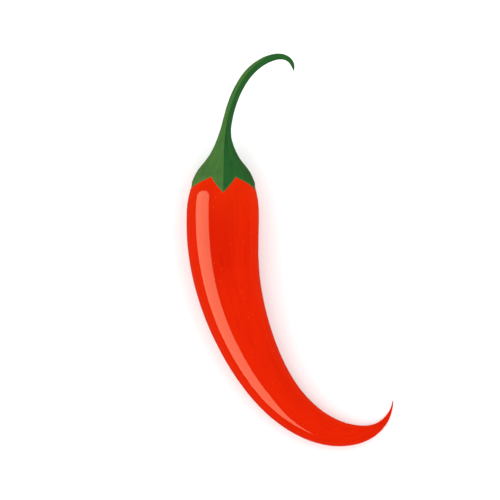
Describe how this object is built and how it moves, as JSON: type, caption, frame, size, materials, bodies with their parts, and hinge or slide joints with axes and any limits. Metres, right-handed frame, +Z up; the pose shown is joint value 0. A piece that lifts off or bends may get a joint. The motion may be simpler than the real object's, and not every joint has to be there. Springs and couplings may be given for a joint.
{
  "type": "chilli pepper",
  "caption": "Long red chilli pepper lying on its side, bent like a hook towards its pointed tip, with a toothed green calyx and a thin curled stalk.",
  "frame": {"origin": "on the surface that the chilli lies on, under the middle of its bounding box", "axes": "+Z up from the surface, +Y from the pod towards the stalk, +X towards the side that the pod's tip and the stalk's end bend to"},
  "size_m": [0.063, 0.1194, 0.0218],
  "materials": {
    "red_skin": "smooth, taut, waxy red skin with a strong gloss; gloss_plastic stands in for it",
    "green_stalk": "satin green calyx and stalk with fine ridges along them, in two greens; matte_plastic stands in for it"
  },
  "bodies": {
    "root": {"pod": "red_skin", "stalk": "green_stalk"}
  },
  "joints": []
}
